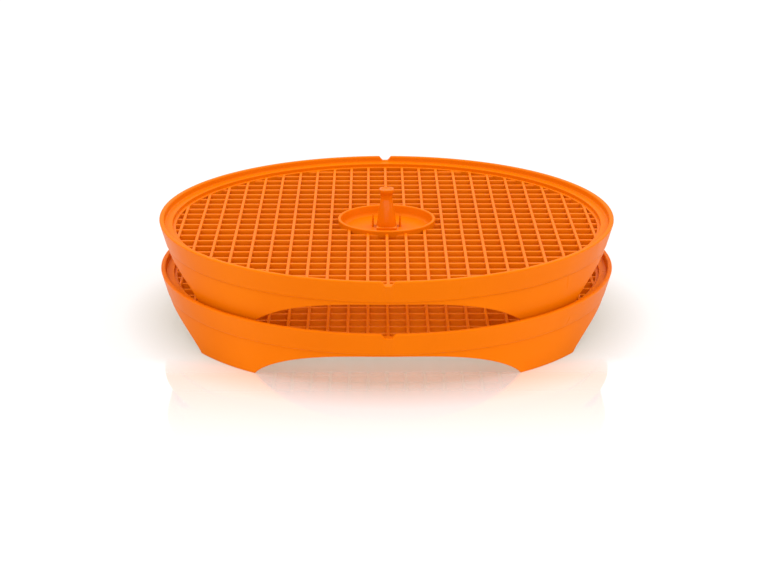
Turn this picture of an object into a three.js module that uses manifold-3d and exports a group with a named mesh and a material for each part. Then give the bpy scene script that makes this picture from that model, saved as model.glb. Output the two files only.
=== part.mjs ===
// Two stacked round drying trays, in millimetres, +Z up.
// The origin is on the surface that the stack stands on, under its centre, and -Y is the front.
// Each tray is a rim and skirt, a mesh grid, a centre dish and a grip post.
import * as THREE from "three";
import { mergeGeometries, mergeVertices } from "three/addons/utils/BufferGeometryUtils.js";
import Module from "manifold-3d";

// Driving dimensions of one tray, whose feet stand at height 0.
const trayHeight = 40.2;
const rimRadius = 165;
const rimWidth = 3.5;
const rimRound = 0.5;
const bandHeight = 15.8;
const bandFootRadius = 160.8;
const skirtTopRadius = 159.8;
const footRadius = 157.9;
const wallThickness = 2.2;
const stepSlope = 0.3;
const rimDraft = 0.5;
const ringSegments = 72;

// The ledge inside the rim, where the next tray's feet stand, and the collar that holds the grid.
const ledgeDepth = 4.3;
const ledgeInnerRadius = 155.4;
const ledgeThickness = 2;
const collarThickness = 1.6;

// Four arches part the skirt into four feet.
const archHalfAngle = THREE.MathUtils.degToRad(34.9);
const archCrownDepth = 17.5;
const archFlatness = 2.6;
const archSweep = 0.84;
const archSteps = 20;

// A notch in the rim at the front and the back.
const notchTopWidth = 9.6;
const notchBottomWidth = 5.6;
const notchDepth = 3.2;
const notchRound = 1.4;

// The mesh grid, its bars square to each other. A bar of one set lies on the centre line.
const gridPitch = 13.476;
const barWidth = 2.3;
const gridDepthBelowRim = 6.8;
const gridThickness = 5;
const gridFrameWidth = 2;
const innerFrameWidth = 1.2;
const gridSegments = 60;

// The centre dish and its collar.
const dishRadius = 35.5;
const dishInnerRadius = 33.4;
const dishTopDepth = 4.5;
const dishFloorDepth = 12;
const dishThickness = 2;
const dishSegments = 40;
const dishInside = [
  // distance in from the inner radius, height over the floor
  [0.8, 3.2],
  [2, 1],
  [4.5, 0],
];
const dishUnderside = [
  // distance in from the outer radius, height over the underside
  [4.5, 0],
  [1, 1.5],
  [0, 4],
];
const finOffset = 10;
const finBack = 4;
const finSize = { width: 1.4, length: 4, height: 9.5 };
const finRoot = 1;

// The grip post and its plinth.
const postSegments = 24;
const plinth = { width: 15, length: 15, height: 1.6 };
const postProfile = [
  // radius, height over the rim plane
  [7.1, -10.4],
  [6.9, -8],
  [6.1, -1],
  [4.9, 6],
  [4.2, 11.2],
  [4.5, 13.6],
  [5.3, 15.6],
  [5.3, 17.4],
];

// Separate nodes keep this much room between them.
const gap = 0.3;
// Height of the upper tray's feet over the lower tray's feet.
const stackPitch = trayHeight - ledgeDepth + gap;
// How far a cutter reaches past what it cuts.
const reach = 5;

const plastic = new THREE.MeshStandardMaterial({ color: 0xfd7600, roughness: 0.35, metalness: 0 });

const wasm = await Module();
wasm.setup();

// A closed three.js geometry as a solid that can be cut and joined.
function solid(geometry) {
  const bare = geometry.clone();
  bare.deleteAttribute("normal");
  bare.deleteAttribute("uv");
  const merged = mergeVertices(bare, 1e-4);
  const mesh = new wasm.Mesh({
    numProp: 3,
    vertProperties: merged.attributes.position.array,
    triVerts: new Uint32Array(merged.index.array),
  });
  return new wasm.Manifold(mesh);
}

function geometryOf(body) {
  const mesh = body.getMesh();
  const geometry = new THREE.BufferGeometry();
  geometry.setAttribute("position", new THREE.BufferAttribute(mesh.vertProperties, 3));
  geometry.setIndex(new THREE.BufferAttribute(mesh.triVerts, 1));
  geometry.computeVertexNormals();
  return geometry;
}

// A profile of [radius, height] points turned about the Z axis.
function turned(profile, segments) {
  const points = profile.map(([radius, height]) => new THREE.Vector2(radius, height));
  return new THREE.LatheGeometry(points, segments).rotateX(Math.PI / 2);
}

// An outline in X and Z, extruded along Y from one side of the tray to the other.
function prismAlongY(outline, length) {
  const shape = new THREE.Shape(outline.map(([x, z]) => new THREE.Vector2(x, z)));
  const prism = new THREE.ExtrudeGeometry(shape, { depth: length, bevelEnabled: false });
  return prism.translate(0, 0, -length / 2).rotateX(Math.PI / 2);
}

function box(width, length, height, x, y, bottom) {
  return new THREE.BoxGeometry(width, length, height).translate(x, y, bottom + height / 2);
}

// The arch's height is rise * (1 - share^flatness)^sweep, where share is the angle from its
// middle over its half angle. Flatness levels the crown, and sweep slopes its ends.
function archOutline() {
  const rise = trayHeight - archCrownDepth;
  const outline = [];
  for (let i = 0; i <= archSteps; i++) {
    const share = Math.cos((Math.PI * i) / archSteps);
    const height = rise * Math.max(1 - Math.abs(share) ** archFlatness, 0) ** archSweep;
    outline.push([footRadius * Math.sin(archHalfAngle * share), height]);
  }
  const halfWidth = footRadius * Math.sin(archHalfAngle);
  outline.push([-halfWidth, -reach], [halfWidth, -reach]);
  return outline;
}

function notchOutline() {
  const bottom = trayHeight - notchDepth;
  const flare = (notchTopWidth - notchBottomWidth) / notchDepth / 2;
  const topHalf = notchTopWidth / 2 + flare * reach;
  const bottomHalf = notchBottomWidth / 2;
  const round = notchRound;
  return [
    [topHalf, trayHeight + reach],
    [-topHalf, trayHeight + reach],
    [-bottomHalf - flare * round, bottom + round],
    [-bottomHalf + round, bottom],
    [bottomHalf - round, bottom],
    [bottomHalf + flare * round, bottom + round],
  ];
}

// The wall of the tray, open below and above, with the ledge and the grid's collar inside it.
function rimAndSkirt() {
  const stepHeight = trayHeight - bandHeight;
  const ledge = trayHeight - ledgeDepth;
  const gridBottom = trayHeight - gridDepthBelowRim - gridThickness;
  const rimInner = rimRadius - rimWidth;
  const collarOuter = ledgeInnerRadius + collarThickness;
  const profile = [
    [footRadius, 0],
    [skirtTopRadius, stepHeight],
    [bandFootRadius, stepHeight + stepSlope],
    [rimRadius, trayHeight - rimRound],
    [rimRadius - rimRound, trayHeight],
    [rimInner + rimRound, trayHeight],
    [rimInner, trayHeight - rimRound],
    [rimInner - rimDraft, ledge],
    [ledgeInnerRadius, ledge],
    [ledgeInnerRadius, gridBottom],
    [collarOuter, gridBottom],
    [collarOuter, ledge - ledgeThickness],
    [rimInner - 2 * rimDraft, ledge - ledgeThickness],
    [skirtTopRadius - wallThickness, stepHeight],
    [footRadius - wallThickness, 0],
    [footRadius, 0],
  ];
  const through = 2 * (rimRadius + reach);
  const arch = prismAlongY(archOutline(), through);
  const notch = prismAlongY(notchOutline(), through);
  return solid(turned(profile, ringSegments))
    .subtract(solid(arch))
    .subtract(solid(arch.clone().rotateZ(Math.PI / 2)))
    .subtract(solid(notch));
}

// Square blocks, one for each opening of the grid whose middle lies well inside the mesh.
function openings(innerRadius, outerRadius, bottom) {
  const size = gridPitch - barWidth;
  const height = gridThickness + 2 * reach;
  const count = Math.ceil(outerRadius / gridPitch);
  const blocks = [];
  for (let column = -count; column < count; column++) {
    for (let row = -count; row <= count; row++) {
      const x = (column + 0.5) * gridPitch;
      const y = row * gridPitch;
      const distance = Math.hypot(x, y);
      if (distance > innerRadius && distance < outerRadius) {
        blocks.push(box(size, size, height, x, y, bottom - reach));
      }
    }
  }
  return solid(mergeGeometries(blocks));
}

// A flat ring of rectangular section.
function flatRing(innerRadius, outerRadius, bottom, top, segments) {
  const section = [
    [innerRadius, bottom],
    [outerRadius, bottom],
    [outerRadius, top],
    [innerRadius, top],
    [innerRadius, bottom],
  ];
  return solid(turned(section, segments));
}

// A disc of square openings, with a plain ring at its edge and another around the dish.
function grid() {
  const top = trayHeight - gridDepthBelowRim;
  const bottom = top - gridThickness;
  const outer = ledgeInnerRadius - gap;
  const inner = dishRadius + gap;
  const meshInner = inner + innerFrameWidth;
  const meshOuter = outer - gridFrameWidth;
  const mesh = flatRing(meshInner, meshOuter, bottom - 2 * reach, top + 2 * reach, gridSegments);
  const disc = flatRing(inner, outer, bottom, top, gridSegments);
  return disc.subtract(openings(meshInner, meshOuter, bottom).intersect(mesh));
}

// A shallow bowl with a raised collar, and two small upright fins beside the post.
function dish() {
  const top = trayHeight - dishTopDepth;
  const floor = trayHeight - dishFloorDepth;
  const under = floor - dishThickness;
  const outside = dishUnderside.map(([inward, height]) => [dishRadius - inward, under + height]);
  const inside = dishInside.map(([inward, height]) => [dishInnerRadius - inward, floor + height]);
  const collarTop = [[dishRadius, top], [dishInnerRadius, top]];
  const profile = [[0, under], ...outside, ...collarTop, ...inside, [0, floor]];
  let body = solid(turned(profile, dishSegments));
  for (const side of [-1, 1]) {
    const { width, length, height } = finSize;
    const fin = box(width, length, height + finRoot, side * finOffset, finBack, floor - finRoot);
    body = body.add(solid(fin));
  }
  return body;
}

// A waisted post with a flared top, standing on a low square plinth.
function gripPost() {
  const floor = trayHeight - dishFloorDepth + gap;
  const profile = postProfile.map(([radius, height]) => [radius, trayHeight + height]);
  const top = trayHeight + postProfile.at(-1)[1];
  const turnedPost = turned([[0, floor], [postProfile[0][0], floor], ...profile, [0, top]], postSegments);
  return solid(turnedPost).add(solid(box(plinth.width, plinth.length, plinth.height, 0, 0, floor)));
}

function tray(name) {
  const group = new THREE.Group();
  const pieces = { rim_and_skirt: rimAndSkirt, grid, dish, grip_post: gripPost };
  for (const [piece, make] of Object.entries(pieces)) {
    const mesh = new THREE.Mesh(geometryOf(make()), plastic);
    mesh.name = `${name}_${piece}`;
    group.add(mesh);
  }
  return group;
}

const stack = new THREE.Group();
const lowerTray = tray("lower");
const upperTray = tray("upper");
upperTray.position.z = stackPitch;
stack.add(lowerTray, upperTray);

export default stack;
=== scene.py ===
import math

import bpy
import numpy as np
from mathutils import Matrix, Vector


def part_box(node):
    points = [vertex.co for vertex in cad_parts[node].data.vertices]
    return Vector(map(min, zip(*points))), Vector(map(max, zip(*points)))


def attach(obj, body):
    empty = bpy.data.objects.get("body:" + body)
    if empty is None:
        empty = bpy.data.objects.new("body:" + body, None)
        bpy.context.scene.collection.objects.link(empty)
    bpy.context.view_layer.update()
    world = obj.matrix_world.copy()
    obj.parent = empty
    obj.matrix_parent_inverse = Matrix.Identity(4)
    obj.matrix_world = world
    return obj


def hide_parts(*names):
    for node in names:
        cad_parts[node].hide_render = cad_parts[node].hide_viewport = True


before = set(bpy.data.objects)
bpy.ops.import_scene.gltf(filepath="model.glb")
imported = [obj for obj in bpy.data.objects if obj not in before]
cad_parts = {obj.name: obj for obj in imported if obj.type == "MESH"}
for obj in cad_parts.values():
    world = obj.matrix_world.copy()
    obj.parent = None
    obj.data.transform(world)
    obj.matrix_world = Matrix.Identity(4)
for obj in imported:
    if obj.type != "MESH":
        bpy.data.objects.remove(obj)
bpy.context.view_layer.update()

# ---------------------------------------------------------------------------
# Where the camera stands: in front of the stack and a little above it, with a
# long lens, looking down at the mesh of the upper tray.
# ---------------------------------------------------------------------------
rim_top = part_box("upper_rim_and_skirt")[1].z
camera_back = 1.3179
camera_side = -0.0099
camera_over_rim = 0.3784
camera_tilt = math.radians(18.35)
camera_turn = math.radians(-0.35)

lens = bpy.data.cameras.new("studio_camera")
lens.lens = 88.0
lens.sensor_width = 36.0
lens.clip_start = 0.05
lens.clip_end = 50.0
camera = bpy.data.objects.new("studio_camera", lens)
camera.location = (camera_side, -camera_back, rim_top + camera_over_rim)
camera.rotation_euler = (math.pi / 2 - camera_tilt, 0.0, camera_turn)
bpy.context.scene.collection.objects.link(camera)
bpy.context.scene.camera = camera
bpy.context.scene.view_settings.view_transform = "Standard"

# ---------------------------------------------------------------------------
# The studio: a white light table polished in front of the stack, a white dome
# that is brightest overhead, a wide soft box at each side, the right one
# stronger, and a low one in front.
# ---------------------------------------------------------------------------
horizon_light = 0.3
overhead_light = 2.3
overhead_narrowness = 1.5
table_half = 6.0
table_paint = 0.31
table_polish = 0.6
table_polish_roughness = 0.05
polish_start = -0.1
polish_full = -0.135
polish_end = -0.275
# Painted shade: within the first radius the table's glow is weaker and warmer. It is a painted fill
# standing in for the shadow under the stack, and it rises to the open glow by the second radius.
painted_shade_radius = 0.15
open_radius = 0.195
painted_shade_glow = (0.36, 0.34, 0.27)
open_glow = (0.56, 0.54, 0.52)
softboxes = {
    # place, width and height, power
    "left_softbox": ((-1.3, -0.25, 0.75), (1.2, 1.6), 5.0),
    "right_softbox": ((1.3, -0.25, 0.75), (1.2, 1.6), 7.0),
    "front_softbox": ((0.0, -1.05, 0.14), (1.4, 0.25), 2.6),
}


def white_dome(name):
    """White light whose strength is horizon + overhead * sin(elevation)^narrowness."""
    dome = bpy.data.worlds.new(name)
    dome.use_nodes = True
    nodes, links = dome.node_tree.nodes, dome.node_tree.links
    place = nodes.new("ShaderNodeTexCoord")
    parts = nodes.new("ShaderNodeSeparateXYZ")
    above = nodes.new("ShaderNodeMath")
    above.operation = "MAXIMUM"
    above.inputs[1].default_value = 0
    curve = nodes.new("ShaderNodeMath")
    curve.operation = "POWER"
    curve.inputs[1].default_value = overhead_narrowness
    strength = nodes.new("ShaderNodeMath")
    strength.operation = "MULTIPLY_ADD"
    strength.inputs[1].default_value = overhead_light
    strength.inputs[2].default_value = horizon_light
    links.new(place.outputs["Generated"], parts.inputs["Vector"])
    links.new(parts.outputs["Z"], above.inputs[0])
    links.new(above.outputs["Value"], curve.inputs[0])
    links.new(curve.outputs["Value"], strength.inputs[0])
    nodes["Background"].inputs["Color"].default_value = (1, 1, 1, 1)
    links.new(strength.outputs["Value"], nodes["Background"].inputs["Strength"])
    return dome


bpy.context.scene.world = white_dome("white_dome")

for name, (place, (width, height), power) in softboxes.items():
    light = bpy.data.lights.new(name, "AREA")
    light.shape = "RECTANGLE"
    light.size = width
    light.size_y = height
    light.energy = power
    softbox = bpy.data.objects.new(name, light)
    softbox.location = place
    softbox.rotation_euler = Vector(place).to_track_quat("Z", "Y").to_euler()
    bpy.context.scene.collection.objects.link(softbox)


def ramp_between(nodes, links, source, start, end, first=0.0, last=1.0):
    """A straight ramp from first to last while the source goes from start to end."""
    ramp = nodes.new("ShaderNodeMapRange")
    ramp.inputs["From Min"].default_value = start
    ramp.inputs["From Max"].default_value = end
    ramp.inputs["To Min"].default_value = first
    ramp.inputs["To Max"].default_value = last
    links.new(source, ramp.inputs["Value"])
    return ramp.outputs["Result"]


def polished_table(name):
    """White matt paint over a faint glow, with a polished strip in front of the stack.

    The polish climbs from none to full at the front feet and falls evenly to
    none at the strip's end. The glow is painted light, weaker and warmer in the
    shade under the stack than in the open: painted shade there, with a warm
    painted fill that keeps the shadow from going pink.
    """
    material = bpy.data.materials.new(name)
    material.use_nodes = True
    nodes, links = material.node_tree.nodes, material.node_tree.links
    nodes.clear()
    place = nodes.new("ShaderNodeTexCoord")
    parts = nodes.new("ShaderNodeSeparateXYZ")
    links.new(place.outputs["Object"], parts.inputs["Vector"])
    climb = ramp_between(nodes, links, parts.outputs["Y"], polish_start, polish_full)
    fall = ramp_between(nodes, links, parts.outputs["Y"], polish_full, polish_end, table_polish, 0)
    share = nodes.new("ShaderNodeMath")
    share.operation = "MULTIPLY"
    links.new(climb, share.inputs[0])
    links.new(fall, share.inputs[1])

    paint = nodes.new("ShaderNodeBsdfDiffuse")
    paint.inputs["Color"].default_value = (table_paint, table_paint, table_paint, 1)
    polish = nodes.new("ShaderNodeBsdfGlossy")
    polish.inputs["Color"].default_value = (1, 1, 1, 1)
    polish.inputs["Roughness"].default_value = table_polish_roughness
    surface = nodes.new("ShaderNodeMixShader")
    links.new(share.outputs["Value"], surface.inputs["Fac"])
    links.new(paint.outputs["BSDF"], surface.inputs[1])
    links.new(polish.outputs["BSDF"], surface.inputs[2])

    distance = nodes.new("ShaderNodeVectorMath")
    distance.operation = "LENGTH"
    links.new(place.outputs["Object"], distance.inputs[0])
    # Painted shade under the stack: a weaker, warmer glow.
    painted_shade = nodes.new("ShaderNodeEmission")
    painted_shade.inputs["Color"].default_value = (*painted_shade_glow, 1)
    open_table = nodes.new("ShaderNodeEmission")
    open_table.inputs["Color"].default_value = (*open_glow, 1)
    glow_with_painted_shade = nodes.new("ShaderNodeMixShader")
    links.new(
        ramp_between(nodes, links, distance.outputs["Value"], painted_shade_radius, open_radius), glow_with_painted_shade.inputs["Fac"]
    )
    links.new(painted_shade.outputs["Emission"], glow_with_painted_shade.inputs[1])
    links.new(open_table.outputs["Emission"], glow_with_painted_shade.inputs[2])

    both = nodes.new("ShaderNodeAddShader")
    out = nodes.new("ShaderNodeOutputMaterial")
    links.new(surface.outputs["Shader"], both.inputs[0])
    links.new(glow_with_painted_shade.outputs["Shader"], both.inputs[1])
    links.new(both.outputs["Shader"], out.inputs["Surface"])
    return material


table_mesh = bpy.data.meshes.new("table")
corners = table_half * np.array([(-1, -1, 0), (1, -1, 0), (1, 1, 0), (-1, 1, 0)], float)
table_mesh.from_pydata(corners.tolist(), [], [(0, 1, 2, 3)])
table_mesh.materials.append(polished_table("white_table"))
table = bpy.data.objects.new("table", table_mesh)
bpy.context.scene.collection.objects.link(table)

# ---------------------------------------------------------------------------
# Rim and skirt: the tray's wall, moulded in orange polypropylene. A rounded rim
# with a notch at the front and back, a tapered band, a small step, and a skirt
# that four arches part into four feet. A ledge inside takes the next tray.
# ---------------------------------------------------------------------------
MM = 0.001
TRAYS = ("lower", "upper")
rim_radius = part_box("lower_rim_and_skirt")[1].x
tray_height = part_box("lower_rim_and_skirt")[1].z
ledge_height = tray_height - 4.3 * MM
ledge_inner = rim_radius - 9.6 * MM
step_height = tray_height - 15.8 * MM
skirt_top = rim_radius - 5.2 * MM
foot_radius = rim_radius - 7.1 * MM
wall_thickness = 2.2 * MM
rim_width = 3.5 * MM
rim_draft = 0.5 * MM
step_width = 1.0 * MM
ledge_thickness = 2.0 * MM
collar_thickness = 1.6 * MM
arch_lip = 0.75 * MM
least_turn = 0.001
collar_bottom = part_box("lower_grid")[0].z
arch_half_angle = math.radians(34.9)
arch_crown = tray_height - 17.5 * MM
arch_flatness = 2.6
arch_sweep = 0.84
notch_depth = 3.2 * MM
notch_top_half = 5.2 * MM
notch_bottom_half = 1.6 * MM
TRAY_ORANGE = (0.69, 0.141, 0.0002)


def soften(corners, closed=False, steps=6):
    """A path past corners of (radius, height, rounding).

    Each corner becomes the curve (1-s)^2 a + 2s(1-s) p + s^2 b, where p is the
    corner and a and b lie on its two sides at the rounding's distance. One more
    point on each side, 1.4 times as far, keeps the flats beside it flat.
    """
    points = np.array([c[:2] for c in corners], float)
    s = np.linspace(0, 1, steps)[:, None]
    path = []
    for i, (radius, height, rounding) in enumerate(corners):
        corner = points[i]
        if rounding == 0 or (not closed and i in (0, len(corners) - 1)):
            path.append(corner[None, :])
            continue
        to_last = points[i - 1] - corner
        to_next = points[(i + 1) % len(corners)] - corner
        reach_last = min(rounding, 0.33 * np.linalg.norm(to_last))
        reach_next = min(rounding, 0.33 * np.linalg.norm(to_next))
        a = corner + to_last / np.linalg.norm(to_last) * reach_last
        b = corner + to_next / np.linalg.norm(to_next) * reach_next
        curve = (1 - s) ** 2 * a + 2 * s * (1 - s) * corner + s**2 * b
        before = corner + 1.4 * (a - corner)
        after = corner + 1.4 * (b - corner)
        path += [before[None, :], curve, after[None, :]]
    return np.vstack(path)


def mesh_from(name, vertices, faces):
    """A smooth-shaded object at the origin from arrays of vertices and faces."""
    mesh = bpy.data.meshes.new(name)
    mesh.from_pydata(vertices.tolist(), [], faces)
    mesh.polygons.foreach_set("use_smooth", np.ones(len(mesh.polygons), bool))
    mesh.update()
    piece = bpy.data.objects.new(name, mesh)
    bpy.context.scene.collection.objects.link(piece)
    return piece


def looped_quads(rows, columns):
    """Quads of a grid of rows by columns whose both directions join up at their ends."""
    i, j = np.meshgrid(np.arange(rows), np.arange(columns), indexing="ij")
    next_i = (i + 1) % rows
    next_j = (j + 1) % columns
    here, below = i * columns, next_i * columns
    return np.stack([here + j, below + j, below + next_j, here + next_j], -1).reshape(-1, 4).tolist()


def wall_angles():
    """Angles round the tray, from 0 to a full turn.

    In each quarter the arch is sampled as half_angle * cos(t), which crowds
    points at its steep ends, the foot evenly, and the notches every 0.1 degree.
    An angle too close to the one before it is dropped, so that no face is a sliver.
    """
    t = np.linspace(0, math.pi, 49)
    arch = arch_half_angle * np.cos(t)
    foot = np.linspace(arch_half_angle, math.pi / 2 - arch_half_angle, 25)[1:-1]
    quarter = np.concatenate([arch, foot])
    turn = np.concatenate([quarter + k * math.pi / 2 for k in range(4)])
    notch = np.radians(np.arange(-2.6, 2.61, 0.1))
    turn = np.concatenate([turn, math.pi / 2 + notch, 3 * math.pi / 2 + notch]) % (2 * math.pi)
    turn = np.unique(np.round(turn, 6))
    return turn[np.diff(turn, prepend=turn[-1] - 2 * math.pi) > least_turn]


def arch_edge(angle):
    """Height of the skirt's lower edge: crown * (1 - share^flatness)^sweep.

    The share is the angle from the arch's middle over its half angle.
    """
    from_arch = np.abs((angle + math.pi / 4) % (math.pi / 2) - math.pi / 4)
    share = np.clip(from_arch / arch_half_angle, 0, 1)
    return arch_crown * (1 - share**arch_flatness) ** arch_sweep


def notch_drop(angle):
    """How far the rim's top sinks: full depth inside the notch, easing to nothing at its lips."""
    across = np.abs(rim_radius * np.cos(angle))
    t = np.clip((notch_top_half - across) / (notch_top_half - notch_bottom_half), 0, 1)
    return notch_depth * t * t * (3 - 2 * t)


def tray_wall(name, floor):
    """A looped profile carried round the tray.

    Below the step, height h becomes edge + h near the edge and is squeezed in
    proportion above it, and the radius slides along the skirt's slope with it.
    Near the rim's top the outer and inner faces sink with the notch.
    """
    rim_inner = rim_radius - rim_width
    taper = (skirt_top - foot_radius) / step_height
    collar_outer = ledge_inner + collar_thickness
    ledge_underside = ledge_height - ledge_thickness
    corners = [
        # radius, height, rounding
        (foot_radius, 0, 0.5 * MM),
        (skirt_top, step_height - 0.1 * MM, 0.35 * MM),
        (skirt_top + step_width, step_height + 0.35 * MM, 0.5 * MM),
        (rim_radius + 0.1 * MM, tray_height, 1.3 * MM),
        (rim_inner, tray_height, 1.2 * MM),
        (rim_inner - rim_draft, ledge_height, 0.9 * MM),
        (ledge_inner, ledge_height, 0.6 * MM),
        (ledge_inner, collar_bottom, 0.3 * MM),
        (collar_outer, collar_bottom, 0.3 * MM),
        (collar_outer, ledge_underside, 0.6 * MM),
        (rim_inner - 2 * rim_draft, ledge_underside, 0.8 * MM),
        (skirt_top - wall_thickness, step_height, 2.0 * MM),
        (foot_radius - wall_thickness, 0, 0.5 * MM),
    ]
    profile = soften(corners, closed=True)
    angle = wall_angles()[:, None]
    radius = np.repeat(profile[None, :, 0], len(angle), 0)
    height = np.repeat(profile[None, :, 1], len(angle), 0)

    ceiling = step_height - 0.3 * MM
    edge = np.repeat(arch_edge(angle), profile.shape[0], 1)
    room = (ceiling - edge - arch_lip) / (ceiling - arch_lip)
    squeezed = edge + arch_lip + (height - arch_lip) * room
    below_step = np.where(height < ceiling, squeezed, height)
    sunk = np.where(height < arch_lip, edge + height, below_step)
    radius = radius + taper * (sunk - height)
    height = sunk

    drop = np.repeat(notch_drop(angle), profile.shape[0], 1)
    outside = radius > rim_inner + 0.5 * MM
    base = np.where(outside, ledge_height - 3.0 * MM, ledge_height + 0.2 * MM)
    on_rim = (height > base) & (radius > rim_inner - 0.6 * MM)
    share = np.where(on_rim, (height - base) / (tray_height - base), 0)
    height = height - drop * np.clip(share, 0, 1)

    points = np.stack([radius * np.cos(angle), radius * np.sin(angle), height + floor], -1)
    return mesh_from(name, points.reshape(-1, 3), looped_quads(*points.shape[:2]))


def moulded_plastic(name, roughness, grain_depth, streak_scale, gloss_level):
    """Orange moulded polypropylene.

    Wide soft noise shifts the orange by about 2 %. Noise stretched along the
    draw of the mould varies the gloss, and fine noise raises a shallow grain.
    """
    material = bpy.data.materials.new(name)
    material.use_nodes = True
    nodes, links = material.node_tree.nodes, material.node_tree.links
    shader = nodes["Principled BSDF"]
    shader.inputs["IOR"].default_value = 1.49
    shader.inputs["Specular IOR Level"].default_value = gloss_level

    place = nodes.new("ShaderNodeTexCoord")
    cloud = nodes.new("ShaderNodeTexNoise")
    cloud.inputs["Scale"].default_value = 14
    cloud.inputs["Detail"].default_value = 4
    tint = nodes.new("ShaderNodeValToRGB")
    red, green, blue = TRAY_ORANGE
    tint.color_ramp.elements[0].position = 0.3
    tint.color_ramp.elements[0].color = (red * 0.975, green * 0.95, blue, 1)
    tint.color_ramp.elements[1].position = 0.72
    tint.color_ramp.elements[1].color = (red * 1.02, green * 1.05, blue * 1.4, 1)
    links.new(place.outputs["Object"], cloud.inputs["Vector"])
    links.new(cloud.outputs["Fac"], tint.inputs["Fac"])
    links.new(tint.outputs["Color"], shader.inputs["Base Color"])

    draw = nodes.new("ShaderNodeMapping")
    draw.inputs["Scale"].default_value = streak_scale
    streak = nodes.new("ShaderNodeTexNoise")
    streak.inputs["Scale"].default_value = 1
    streak.inputs["Detail"].default_value = 3
    gloss = nodes.new("ShaderNodeMapRange")
    gloss.inputs["From Min"].default_value = 0.3
    gloss.inputs["From Max"].default_value = 0.7
    gloss.inputs["To Min"].default_value = roughness - 0.05
    gloss.inputs["To Max"].default_value = roughness + 0.07
    links.new(place.outputs["Object"], draw.inputs["Vector"])
    links.new(draw.outputs["Vector"], streak.inputs["Vector"])
    links.new(streak.outputs["Fac"], gloss.inputs["Value"])
    links.new(gloss.outputs["Result"], shader.inputs["Roughness"])

    grain = nodes.new("ShaderNodeTexNoise")
    grain.inputs["Scale"].default_value = 1400
    grain.inputs["Detail"].default_value = 3
    bump = nodes.new("ShaderNodeBump")
    bump.inputs["Strength"].default_value = 0.5
    bump.inputs["Distance"].default_value = grain_depth
    links.new(place.outputs["Object"], grain.inputs["Vector"])
    links.new(grain.outputs["Fac"], bump.inputs["Height"])
    links.new(bump.outputs["Normal"], shader.inputs["Normal"])
    return material


wall_plastic = moulded_plastic("wall_plastic", 0.32, 0.00001, (60, 60, 6), 0.03)
for tray in TRAYS:
    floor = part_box(f"{tray}_rim_and_skirt")[0].z
    wall = tray_wall(f"{tray}_tray_wall", floor)
    wall.data.materials.append(wall_plastic)
    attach(wall, f"{tray}_tray")
    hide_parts(f"{tray}_rim_and_skirt")

# ---------------------------------------------------------------------------
# Grid: the mesh floor that the food lies on. Two sets of slim bars cross at
# right angles, the front-to-back set a little prouder, inside a plain edge ring.
# It is moulded with the wall and opens round the centre dish.
# ---------------------------------------------------------------------------
grid_pitch = 13.476 * MM
grid_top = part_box("lower_grid")[1].z
grid_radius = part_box("lower_grid")[1].x
column_width = 2.1 * MM
row_width = 2.5 * MM
row_sink = 0.5 * MM
frame_ring_width = 2.0 * MM
dish_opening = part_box("lower_dish")[1].x - 1.1 * MM


def bar_section(width, bottom, top):
    """Half-width and height round one bar: a tapered strip with a rounded crown, wider at the top."""
    half = width / 2
    crown = half * 0.3
    side = np.array([(-0.82 * half, bottom), (0.82 * half, bottom), (half, top - crown)])
    s = np.linspace(0, math.pi, 9)[1:-1]
    cap = np.stack([half * np.cos(s), top - crown + crown * np.sin(s)], -1)
    return np.vstack([side, cap, [(-half, top - crown)]])


def bars(name, offsets, section, along_y):
    """Straight bars, one at each offset. Each reaches sqrt(R^2 - offset^2) both ways, to the edge ring."""
    reach = np.sqrt((grid_radius - 1.0 * MM) ** 2 - offsets**2)
    n = len(section)
    ends = np.array([-1.0, 1.0])
    shape = (len(offsets), 2, n)
    across = np.broadcast_to(offsets[:, None, None] + section[None, None, :, 0], shape)
    along = np.broadcast_to(reach[:, None, None] * ends[None, :, None], shape)
    height = np.broadcast_to(section[None, None, :, 1], shape)
    points = np.stack([across, along, height] if along_y else [along, across, height], -1)
    start = 2 * n * np.arange(len(offsets))[:, None, None]
    k = np.arange(n)
    after = (k + 1) % n
    sides = (start + np.stack([k, after, after + n, k + n], -1)[None]).reshape(-1, 4)
    near = (start[:, :, 0] + k[::-1]).tolist()
    far = (start[:, :, 0] + n + k).tolist()
    faces = sides.tolist() + near + far
    if along_y:
        faces = [face[::-1] for face in faces]
    return mesh_from(name, points.reshape(-1, 3), faces)


def turned_ring(name, inner, outer, bottom, top, rounding, around=256):
    """A closed ring: a soft-cornered rectangle carried round the Z axis."""
    rectangle = [(outer, bottom), (outer, top), (inner, top), (inner, bottom)]
    corners = [(*corner, rounding) for corner in rectangle]
    profile = soften(corners, closed=True, steps=4)
    angle = np.linspace(0, 2 * math.pi, around, endpoint=False)[:, None]
    points = np.stack(
        [profile[:, 0] * np.cos(angle), profile[:, 0] * np.sin(angle), profile[:, 1] + 0 * angle], -1
    )
    return mesh_from(name, points.reshape(-1, 3), looped_quads(*points.shape[:2]))


def combine(base, operation, *others):
    """Joins or cuts closed meshes, and keeps only the finished one."""
    for other in others:
        modifier = base.modifiers.new(operation, "BOOLEAN")
        modifier.operation = operation
        modifier.object = other
        modifier.solver = "MANIFOLD"
    shapes = bpy.context.evaluated_depsgraph_get()
    finished = bpy.data.meshes.new_from_object(base.evaluated_get(shapes))
    base.modifiers.clear()
    base.data = finished
    for other in others:
        bpy.data.objects.remove(other)
    finished.polygons.foreach_set("use_smooth", np.ones(len(finished.polygons), bool))
    finished.set_sharp_from_angle(angle=math.radians(38))
    return base


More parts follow.
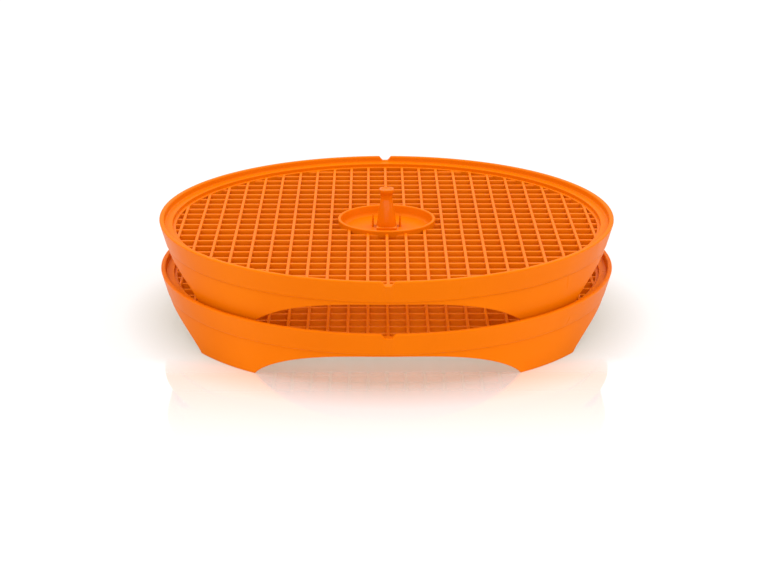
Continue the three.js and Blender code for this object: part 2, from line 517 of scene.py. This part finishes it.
grid_plastic = moulded_plastic("grid_plastic", 0.34, 0.000008, (40, 40, 40), 0.06)
for tray in TRAYS:
    low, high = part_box(f"{tray}_grid")
    reach = int(grid_radius / grid_pitch)
    columns = grid_pitch * np.arange(-reach, reach + 1)
    rows = grid_pitch * (np.arange(-reach - 1, reach + 1) + 0.5)
    rows = rows[np.abs(rows) < grid_radius - 3 * MM]
    mesh_floor = bars(f"{tray}_tray_grid", columns, bar_section(column_width, low.z, high.z), True)
    cross = bars("cross_bars", rows, bar_section(row_width, low.z + 0.1 * MM, high.z - row_sink), False)
    outside = grid_radius + 0.7 * MM
    edge = turned_ring("edge_ring", grid_radius - frame_ring_width, outside, low.z, high.z, 0.4 * MM)
    mouth = turned_ring("dish_mouth", 0.5 * MM, dish_opening, low.z - 5 * MM, high.z + 5 * MM, 0)
    mesh_floor = combine(mesh_floor, "UNION", cross)
    mesh_floor = combine(mesh_floor, "UNION", edge)
    mesh_floor = combine(mesh_floor, "DIFFERENCE", mouth)
    mesh_floor.data.materials.clear()
    mesh_floor.data.materials.append(grid_plastic)
    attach(mesh_floor, f"{tray}_tray")
    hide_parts(f"{tray}_grid")

# ---------------------------------------------------------------------------
# Centre dish: a shallow bowl let into the grid, with a thin raised collar, so
# that fingers can reach the post. Two small tapered fins stand on its floor.
# ---------------------------------------------------------------------------
dish_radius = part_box("lower_dish")[1].x
dish_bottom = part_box("lower_dish")[0].z
dish_rim = tray_height - 4.5 * MM
dish_wall = 2.1 * MM
fin_offset = 10.0 * MM
fin_back = 4.0 * MM
fin_height = 9.4 * MM
fin_root = 0.8 * MM
dish_floor = dish_bottom + 2.0 * MM


def loft(name, half_x, half_y, height, power=2.0, around=96, centre=(0.0, 0.0)):
    """Level rings stacked into a closed solid.

    At angle a a ring's point is (half_x cos a, half_y sin a) divided by
    (|cos a|^power + |sin a|^power)^(1/power): round at 2, squarer above it.
    A single point closes each end.
    """
    half_x, half_y, height = np.broadcast_arrays(*np.atleast_1d(half_x, half_y, height))
    power = np.broadcast_to(power, height.shape)[:, None]
    angle = np.linspace(0, 2 * math.pi, around, endpoint=False)[None, :]
    c, s = np.cos(angle), np.sin(angle)
    scale = (np.abs(c) ** power + np.abs(s) ** power) ** (-1 / power)
    x = centre[0] + half_x[:, None] * c * scale
    y = centre[1] + half_y[:, None] * s * scale
    z = np.repeat(height[:, None], around, 1)
    rings = np.stack([x, y, z], -1).reshape(-1, 3)
    ends = np.array([(*centre, height[0]), (*centre, height[-1])])
    level, k = np.meshgrid(np.arange(len(height) - 1), np.arange(around), indexing="ij")
    after = (k + 1) % around
    low = level * around
    high = low + around
    quads = np.stack([low + k, low + after, high + after, high + k], -1).reshape(-1, 4)
    k = np.arange(around)
    after = (k + 1) % around
    last = (len(height) - 1) * around
    bottom = np.stack([after, k, np.full(around, len(rings))], -1)
    top = np.stack([last + k, last + after, np.full(around, len(rings) + 1)], -1)
    return mesh_from(name, np.vstack([rings, ends]), quads.tolist() + bottom.tolist() + top.tolist())


def dish_body(name, floor):
    """A soft-cornered bowl profile turned about the Z axis: underside, wall, collar, then the inside."""
    wall_inner = dish_radius - dish_wall
    corners = [
        # radius, height, rounding
        (0.5 * MM, dish_bottom, 0),
        (dish_radius - 2.4 * MM, dish_bottom, 2.6 * MM),
        (dish_radius, dish_bottom + 4.0 * MM, 1.2 * MM),
        (dish_radius, dish_rim, 0.8 * MM),
        (wall_inner, dish_rim, 0.7 * MM),
        (wall_inner - 1.4 * MM, dish_floor, 3.6 * MM),
        (0.5 * MM, dish_floor, 0),
    ]
    profile = soften(corners)
    return loft(name, profile[:, 0], profile[:, 0], profile[:, 1] + floor, around=160)


def fin(name, x, floor):
    """A blade that narrows upwards, rounded over at its tip."""
    t = np.linspace(0, 1, 12)
    width = 0.9 * MM * (1 - 0.45 * t) * np.sqrt(np.clip(1 - t**8, 0.02, 1))
    length = 3.4 * MM * (1 - 0.5 * t) * np.sqrt(np.clip(1 - t**8, 0.02, 1))
    height = dish_floor - fin_root + t * (fin_root + fin_height)
    return loft(name, width, length, height + floor, power=4.0, around=24, centre=(x, fin_back))


dish_plastic = moulded_plastic("dish_plastic", 0.32, 0.000008, (30, 30, 30), 0.03)
for tray in TRAYS:
    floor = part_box(f"{tray}_rim_and_skirt")[0].z
    dish = dish_body(f"{tray}_tray_dish", floor)
    fins = [fin("fin", side * fin_offset, floor) for side in (-1, 1)]
    dish = combine(dish, "UNION", *fins)
    dish.data.materials.clear()
    dish.data.materials.append(dish_plastic)
    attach(dish, f"{tray}_tray")
    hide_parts(f"{tray}_dish")

# ---------------------------------------------------------------------------
# Grip post: the tray is lifted by this waisted post, pinched under its flared
# top. It stands on a low square plinth in the middle of the dish.
# ---------------------------------------------------------------------------
post_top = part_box("lower_grip_post")[1].z
plinth_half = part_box("lower_grip_post")[1].x
top_radius = 5.3 * MM
post_root = 0.5 * MM


def grip_post(name, floor):
    """Radius over height: wide at the foot, narrowest at the waist, flared and slightly dished on top."""
    corners = [
        # radius, height, rounding
        (0.5 * MM, dish_floor - post_root, 0),
        (7.15 * MM, dish_floor - post_root, 0.1 * MM),
        (7.0 * MM, tray_height - 8.5 * MM, 3.0 * MM),
        (6.0 * MM, tray_height - 0.5 * MM, 3.5 * MM),
        (4.15 * MM, tray_height + 9.5 * MM, 3.5 * MM),
        (4.25 * MM, tray_height + 12.6 * MM, 1.6 * MM),
        (top_radius, post_top - 2.0 * MM, 1.0 * MM),
        (top_radius, post_top, 0.9 * MM),
        (3.6 * MM, post_top, 0.7 * MM),
        (3.0 * MM, post_top - 0.7 * MM, 0.6 * MM),
        (0.5 * MM, post_top - 0.9 * MM, 0),
    ]
    profile = soften(corners)
    squareness = 2.0 + 1.2 * np.clip((profile[:, 1] - tray_height) / (post_top - tray_height), 0, 1)
    return loft(name, profile[:, 0], profile[:, 0], profile[:, 1] + floor, power=squareness, around=96)


def plinth(name, floor):
    """A low square block with soft edges."""
    t = np.linspace(0, 1, 8)
    half = plinth_half - 0.5 * MM * np.abs(2 * t - 1) ** 6
    height = dish_floor - post_root + 2.4 * MM * t
    return loft(name, half, half, height + floor, power=9.0, around=96)


post_plastic = moulded_plastic("post_plastic", 0.24, 0.000006, (80, 80, 8), 0.12)
for tray in TRAYS:
    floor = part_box(f"{tray}_rim_and_skirt")[0].z
    post = grip_post(f"{tray}_tray_post", floor)
    post = combine(post, "UNION", plinth("plinth", floor))
    post.data.materials.clear()
    post.data.materials.append(post_plastic)
    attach(post, f"{tray}_tray")
    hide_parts(f"{tray}_grip_post")
